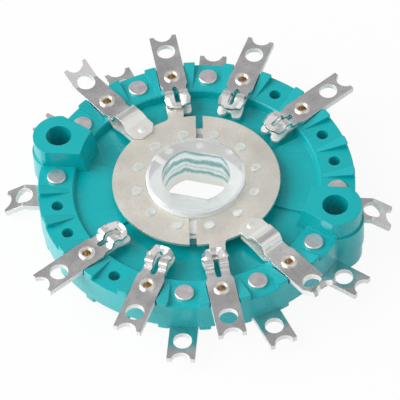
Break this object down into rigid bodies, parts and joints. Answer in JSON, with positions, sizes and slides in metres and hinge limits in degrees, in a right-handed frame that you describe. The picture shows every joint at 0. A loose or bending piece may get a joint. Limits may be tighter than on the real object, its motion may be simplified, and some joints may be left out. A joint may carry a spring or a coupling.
{
  "type": "rotary wafer switch",
  "caption": "One wafer of a rotary switch: a moulded ring with riveted spring contacts and solder lugs, and a clear rotor with metal blades and a double-D shaft hole.",
  "frame": {"origin": "on the shaft hole's axis, in the plane of the two lower boss faces", "axes": "+Z along the shaft hole towards the rotor's collar, +X towards a boss hole"},
  "size_m": [0.0498, 0.0506, 0.0091],
  "materials": {
    "ring_plastic": "satin moulded teal plastic",
    "clear_plastic": "clear moulded plastic",
    "blade_metal": "matt silver plate",
    "leaf_metal": "satin silver plate",
    "rivet_metal": "silver plated brass"
  },
  "bodies": {
    "ring": {"stator": "ring_plastic", "top_1_common_outer_leaf": "leaf_metal", "top_1_common_inner_leaf": "leaf_metal", "top_1_common_rivet": "rivet_metal", "top_1_throw_1_outer_leaf": "leaf_metal", "top_1_throw_1_inner_leaf": "leaf_metal", "top_1_throw_1_rivet": "rivet_metal", "top_1_throw_2_outer_leaf": "leaf_metal", "top_1_throw_2_inner_leaf": "leaf_metal", "top_1_throw_2_rivet": "rivet_metal", "top_1_throw_3_outer_leaf": "leaf_metal", "top_1_throw_3_inner_leaf": "leaf_metal", "top_1_throw_3_rivet": "rivet_metal", "top_2_common_outer_leaf": "leaf_metal", "top_2_common_inner_leaf": "leaf_metal", "top_2_common_rivet": "rivet_metal", "top_2_throw_1_outer_leaf": "leaf_metal", "top_2_throw_1_inner_leaf": "leaf_metal", "top_2_throw_1_rivet": "rivet_metal", "top_2_throw_2_outer_leaf": "leaf_metal", "top_2_throw_2_inner_leaf": "leaf_metal", "top_2_throw_2_rivet": "rivet_metal", "top_2_throw_3_outer_leaf": "leaf_metal", "top_2_throw_3_inner_leaf": "leaf_metal", "top_2_throw_3_rivet": "rivet_metal", "bottom_1_common_outer_leaf": "leaf_metal", "bottom_1_common_inner_leaf": "leaf_metal", "bottom_1_common_rivet": "rivet_metal", "bottom_1_throw_1_outer_leaf": "leaf_metal", "bottom_1_throw_1_inner_leaf": "leaf_metal", "bottom_1_throw_1_rivet": "rivet_metal", "bottom_1_throw_2_outer_leaf": "leaf_metal", "bottom_1_throw_2_inner_leaf": "leaf_metal", "bottom_1_throw_2_rivet": "rivet_metal", "bottom_1_throw_3_outer_leaf": "leaf_metal", "bottom_1_throw_3_inner_leaf": "leaf_metal", "bottom_1_throw_3_rivet": "rivet_metal", "bottom_2_common_outer_leaf": "leaf_metal", "bottom_2_common_inner_leaf": "leaf_metal", "bottom_2_common_rivet": "rivet_metal", "bottom_2_throw_1_outer_leaf": "leaf_metal", "bottom_2_throw_1_inner_leaf": "leaf_metal", "bottom_2_throw_1_rivet": "rivet_metal", "bottom_2_throw_2_outer_leaf": "leaf_metal", "bottom_2_throw_2_inner_leaf": "leaf_metal", "bottom_2_throw_2_rivet": "rivet_metal", "bottom_2_throw_3_outer_leaf": "leaf_metal", "bottom_2_throw_3_inner_leaf": "leaf_metal", "bottom_2_throw_3_rivet": "rivet_metal"},
    "rotor": {"rotor": "clear_plastic", "top_blade_a": "blade_metal", "top_blade_b": "blade_metal", "bottom_blade_a": "blade_metal", "bottom_blade_b": "blade_metal"}
  },
  "joints": [
    {"name": "rotor_turn", "type": "hinge", "parent": "ring", "child": "rotor", "pos_m": [0, 0, 0.00455], "axis": [0, 0, 1], "range_deg": [-60, 0]}
  ]
}
